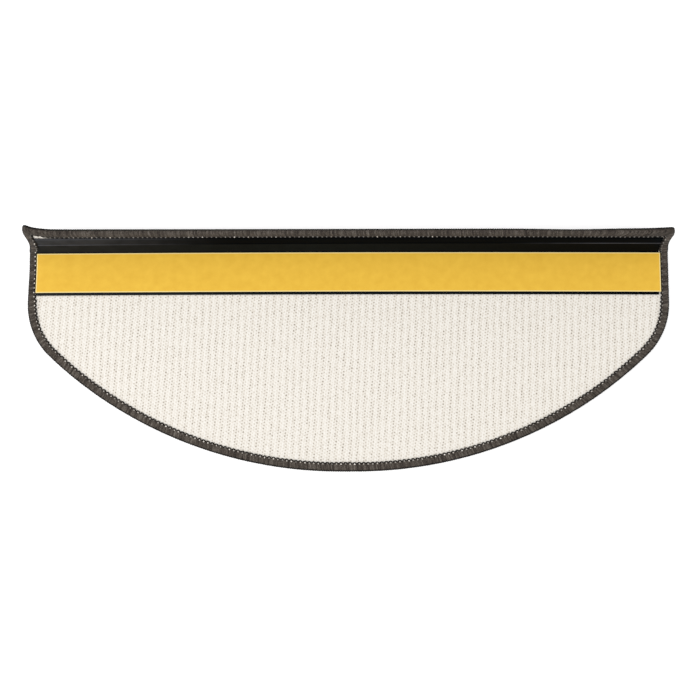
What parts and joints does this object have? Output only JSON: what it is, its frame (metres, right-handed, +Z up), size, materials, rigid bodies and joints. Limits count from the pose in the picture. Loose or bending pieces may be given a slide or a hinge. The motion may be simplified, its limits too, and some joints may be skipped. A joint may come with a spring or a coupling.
{
  "type": "anti slip stair tread mat",
  "caption": "Half-round carpet stair tread mat lying on its pile, with an overlocked edge and a nose flap folded up over a plastic angle with a covered adhesive strip.",
  "frame": {"origin": "middle of the mat's footprint, on the surface that it lies on", "axes": "+X along the nose, +Y towards the nose flap, +Z up out of the backing; in use the mat is turned over, so that the backing faces the stair"},
  "size_m": [0.6516, 0.2406, 0.0454],
  "materials": {
    "pile": "looped yarn pile",
    "backing": "ribbed woven backing",
    "yarn": "overlocked yarn",
    "profile": "extruded, satin",
    "tape": "soft adhesive foam",
    "liner": "smooth coated paper"
  },
  "bodies": {
    "root": {"pile_face": "pile", "backing_cloth": "backing", "edge_binding": "yarn", "angle_profile": "profile", "adhesive_tape": "tape", "release_liner": "liner"}
  },
  "joints": []
}
